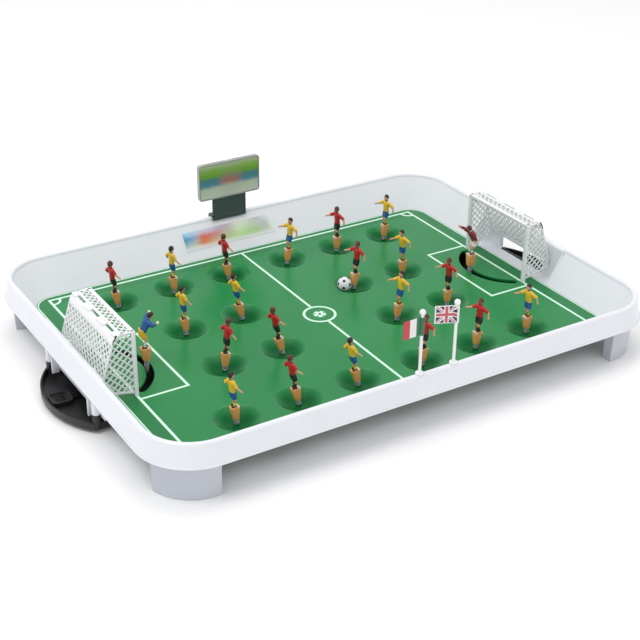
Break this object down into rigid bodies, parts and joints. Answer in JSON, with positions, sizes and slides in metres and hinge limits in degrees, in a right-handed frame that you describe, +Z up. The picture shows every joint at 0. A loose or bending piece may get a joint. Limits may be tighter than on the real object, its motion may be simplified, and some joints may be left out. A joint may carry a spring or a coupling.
{
  "type": "tabletop spring football game",
  "caption": "Tabletop football game with a dimpled green pitch, figures standing on coil springs, netted goals, lever-driven goalkeepers, score board and flags.",
  "frame": {"origin": "on the table under the middle of the game", "axes": "+X towards the right goal, +Y towards the score board, +Z up"},
  "size_m": [0.574, 0.4008, 0.12],
  "materials": {
    "white_moulding": "glossy white moulded plastic",
    "leg_plastic": "satin off-white moulded plastic",
    "pitch_green": "glossy green moulded plastic with pale printed lines",
    "goal_white": "satin white moulded plastic",
    "black_plastic": "satin black moulded plastic",
    "bracket_grey": "dark grey-green moulded plastic",
    "score_grey": "light grey moulded plastic",
    "print": "printed card with plain colour bands",
    "sticker_print": "printed vinyl with plain colour bands",
    "flag_print_a": "printed plastic flag, three plain stripes",
    "flag_print_b": "printed plastic flag, plain crossed bands",
    "ball_white": "glossy plastic with dark panels",
    "steel": "zinc-plated steel",
    "spring_steel": "bright spring wire",
    "red_team": "painted moulded figure, red shirt and black shorts",
    "yellow_team": "painted moulded figure, yellow shirt and blue shorts",
    "blue_keeper": "painted moulded figure, blue shirt and yellow shorts",
    "maroon_keeper": "painted moulded figure, dark red shirt and pale shorts"
  },
  "bodies": {
    "table": {"rim_frame": "white_moulding", "pitch_panel": "pitch_green", "leg_front_left": "leg_plastic", "leg_front_right": "leg_plastic", "leg_back_left": "leg_plastic", "leg_back_right": "leg_plastic", "leg_screws": "steel", "goal_left": "goal_white", "goal_right": "goal_white", "ball_tray_left": "black_plastic", "ball_tray_right": "black_plastic", "tray_screws": "steel", "pivot_screws": "steel", "score_bracket": "bracket_grey", "score_frame": "score_grey", "score_card": "print", "wall_sticker": "sticker_print", "flag_pole_left": "goal_white", "flag_pole_right": "goal_white", "player_springs": "spring_steel"},
    "lever_left": {"keeper_lever_left": "black_plastic", "keeper_spring_left": "spring_steel"},
    "lever_right": {"keeper_lever_right": "black_plastic", "keeper_spring_right": "spring_steel"},
    "keeper_left": {"keeper_left": "blue_keeper"},
    "keeper_right": {"keeper_right": "maroon_keeper"},
    "flag_left": {"flag_left": "flag_print_a"},
    "flag_right": {"flag_right": "flag_print_b"},
    "ball": {"ball": "ball_white"},
    "red_player_1": {"red_player_1": "red_team"},
    "red_player_2": {"red_player_2": "red_team"},
    "red_player_3": {"red_player_3": "red_team"},
    "red_player_4": {"red_player_4": "red_team"},
    "red_player_5": {"red_player_5": "red_team"},
    "red_player_6": {"red_player_6": "red_team"},
    "red_player_7": {"red_player_7": "red_team"},
    "red_player_8": {"red_player_8": "red_team"},
    "red_player_9": {"red_player_9": "red_team"},
    "red_player_10": {"red_player_10": "red_team"},
    "yellow_player_1": {"yellow_player_1": "yellow_team"},
    "yellow_player_2": {"yellow_player_2": "yellow_team"},
    "yellow_player_3": {"yellow_player_3": "yellow_team"},
    "yellow_player_4": {"yellow_player_4": "yellow_team"},
    "yellow_player_5": {"yellow_player_5": "yellow_team"},
    "yellow_player_6": {"yellow_player_6": "yellow_team"},
    "yellow_player_7": {"yellow_player_7": "yellow_team"},
    "yellow_player_8": {"yellow_player_8": "yellow_team"},
    "yellow_player_9": {"yellow_player_9": "yellow_team"},
    "yellow_player_10": {"yellow_player_10": "yellow_team"}
  },
  "joints": [
    {"name": "red_player_1_flex", "type": "hinge", "parent": "table", "child": "red_player_1", "pos_m": [-0.16142, 0.1246, 0.0175], "axis": [0, 1, 0], "range_deg": [-37, 40], "stiffness_Nm_per_rad": 0.02, "deforming": ["player_springs"]},
    {"name": "red_player_2_flex", "type": "hinge", "parent": "table", "child": "red_player_2", "pos_m": [-0.03577, 0.1246, 0.0175], "axis": [0, 1, 0], "range_deg": [-38, 39], "stiffness_Nm_per_rad": 0.02, "deforming": ["player_springs"]},
    {"name": "red_player_3_flex", "type": "hinge", "parent": "table", "child": "red_player_3", "pos_m": [0.09863, 0.1246, 0.0175], "axis": [0, -1, 0], "range_deg": [-44.5, 32.5], "stiffness_Nm_per_rad": 0.02, "deforming": ["player_springs"]},
    {"name": "red_player_4_flex", "type": "hinge", "parent": "table", "child": "red_player_4", "pos_m": [0.06589, 0.0396, 0.0175], "axis": [0, -1, 0], "range_deg": [-39.5, 10], "stiffness_Nm_per_rad": 0.02, "deforming": ["player_springs"]},
    {"name": "red_player_5_flex", "type": "hinge", "parent": "table", "child": "red_player_5", "pos_m": [-0.12737, -0.0396, 0.0175], "axis": [0, 1, 0], "range_deg": [-49.5, 27.5], "stiffness_Nm_per_rad": 0.02, "deforming": ["player_springs"]},
    {"name": "red_player_6_flex", "type": "hinge", "parent": "table", "child": "red_player_6", "pos_m": [-0.06628, -0.0396, 0.0175], "axis": [0, 1, 0], "range_deg": [-32, 45], "stiffness_Nm_per_rad": 0.02, "deforming": ["player_springs"]},
    {"name": "red_player_7_flex", "type": "hinge", "parent": "table", "child": "red_player_7", "pos_m": [0.12763, -0.0396, 0.0175], "axis": [0, -1, 0], "range_deg": [-44.5, 32.5], "stiffness_Nm_per_rad": 0.02, "deforming": ["player_springs"]},
    {"name": "red_player_8_flex", "type": "hinge", "parent": "table", "child": "red_player_8", "pos_m": [-0.09917, -0.1246, 0.0175], "axis": [0, 1, 0], "range_deg": [-34, 43], "stiffness_Nm_per_rad": 0.02, "deforming": ["player_springs"]},
    {"name": "red_player_9_flex", "type": "hinge", "parent": "table", "child": "red_player_9", "pos_m": [0.03561, -0.1246, 0.0175], "axis": [0, -1, 0], "range_deg": [-41, 36], "stiffness_Nm_per_rad": 0.02, "deforming": ["player_springs"]},
    {"name": "red_player_10_flex", "type": "hinge", "parent": "table", "child": "red_player_10", "pos_m": [0.09881, -0.1246, 0.0175], "axis": [0, -1, 0], "range_deg": [-41, 36], "stiffness_Nm_per_rad": 0.02, "deforming": ["player_springs"]},
    {"name": "yellow_player_1_flex", "type": "hinge", "parent": "table", "child": "yellow_player_1", "pos_m": [-0.09876, 0.1246, 0.0175], "axis": [0, 1, 0], "range_deg": [-42, 35], "stiffness_Nm_per_rad": 0.02, "deforming": ["player_springs"]},
    {"name": "yellow_player_2_flex", "type": "hinge", "parent": "table", "child": "yellow_player_2", "pos_m": [0.03571, 0.1246, 0.0175], "axis": [0, -1, 0], "range_deg": [-39, 38], "stiffness_Nm_per_rad": 0.02, "deforming": ["player_springs"]},
    {"name": "yellow_player_3_flex", "type": "hinge", "parent": "table", "child": "yellow_player_3", "pos_m": [0.16118, 0.1246, 0.0175], "axis": [0, -1, 0], "range_deg": [-41.5, 35.5], "stiffness_Nm_per_rad": 0.02, "deforming": ["player_springs"]},
    {"name": "yellow_player_4_flex", "type": "hinge", "parent": "table", "child": "yellow_player_4", "pos_m": [-0.12784, 0.0396, 0.0175], "axis": [0, 1, 0], "range_deg": [-40.5, 36.5], "stiffness_Nm_per_rad": 0.02, "deforming": ["player_springs"]},
    {"name": "yellow_player_5_flex", "type": "hinge", "parent": "table", "child": "yellow_player_5", "pos_m": [-0.0662, 0.0396, 0.0175], "axis": [0, 1, 0], "range_deg": [-33.5, 43.5], "stiffness_Nm_per_rad": 0.02, "deforming": ["player_springs"]},
    {"name": "yellow_player_6_flex", "type": "hinge", "parent": "table", "child": "yellow_player_6", "pos_m": [0.12749, 0.0396, 0.0175], "axis": [0, -1, 0], "range_deg": [-47, 30], "stiffness_Nm_per_rad": 0.02, "deforming": ["player_springs"]},
    {"name": "yellow_player_7_flex", "type": "hinge", "parent": "table", "child": "yellow_player_7", "pos_m": [0.06589, -0.0396, 0.0175], "axis": [0, -1, 0], "range_deg": [-39.5, 37.5], "stiffness_Nm_per_rad": 0.02, "deforming": ["player_springs"]},
    {"name": "yellow_player_8_flex", "type": "hinge", "parent": "table", "child": "yellow_player_8", "pos_m": [-0.16134, -0.1246, 0.0175], "axis": [0, 1, 0], "range_deg": [-38.5, 38.5], "stiffness_Nm_per_rad": 0.02, "deforming": ["player_springs"]},
    {"name": "yellow_player_9_flex", "type": "hinge", "parent": "table", "child": "yellow_player_9", "pos_m": [-0.03605, -0.1246, 0.0175], "axis": [0, 1, 0], "range_deg": [-32.5, 44.5], "stiffness_Nm_per_rad": 0.02, "deforming": ["player_springs"]},
    {"name": "yellow_player_10_flex", "type": "hinge", "parent": "table", "child": "yellow_player_10", "pos_m": [0.16097, -0.1246, 0.0175], "axis": [0, -1, 0], "range_deg": [-45.5, 31.5], "stiffness_Nm_per_rad": 0.02, "deforming": ["player_springs"]},
    {"name": "lever_left_swing", "type": "hinge", "parent": "table", "child": "lever_left", "pos_m": [-0.239, 0, 0.01], "axis": [0, 0, 1], "range_deg": [-46, 54]},
    {"name": "lever_right_swing", "type": "hinge", "parent": "table", "child": "lever_right", "pos_m": [0.239, 0, 0.01], "axis": [0, 0, 1], "range_deg": [-45, 55]},
    {"name": "keeper_left_flex", "type": "hinge", "parent": "lever_left", "child": "keeper_left", "pos_m": [-0.18962, -0.00345, 0.0215], "axis": [0.0698, 0.9976, 0], "range_deg": [-30, 30], "stiffness_Nm_per_rad": 0.02, "deforming": ["keeper_spring_left"]},
    {"name": "keeper_right_flex", "type": "hinge", "parent": "lever_right", "child": "keeper_right", "pos_m": [0.18969, 0.00431, 0.0215], "axis": [-0.0872, -0.9962, 0], "range_deg": [-25, 35], "stiffness_Nm_per_rad": 0.02, "deforming": ["keeper_spring_right"]},
    {"name": "flag_left_turn", "type": "hinge", "parent": "table", "child": "flag_left", "pos_m": [-0.0182, -0.193, 0.104], "axis": [0, 0, 1], "range_deg": [-120, 120]},
    {"name": "flag_right_turn", "type": "hinge", "parent": "table", "child": "flag_right", "pos_m": [0.0182, -0.193, 0.104], "axis": [0, 0, 1], "range_deg": [-96, 144]},
    {"name": "ball_lift", "type": "slide", "parent": "table", "child": "ball", "axis": [0, 0, 1], "range_m": [0, 0.12]}
  ]
}
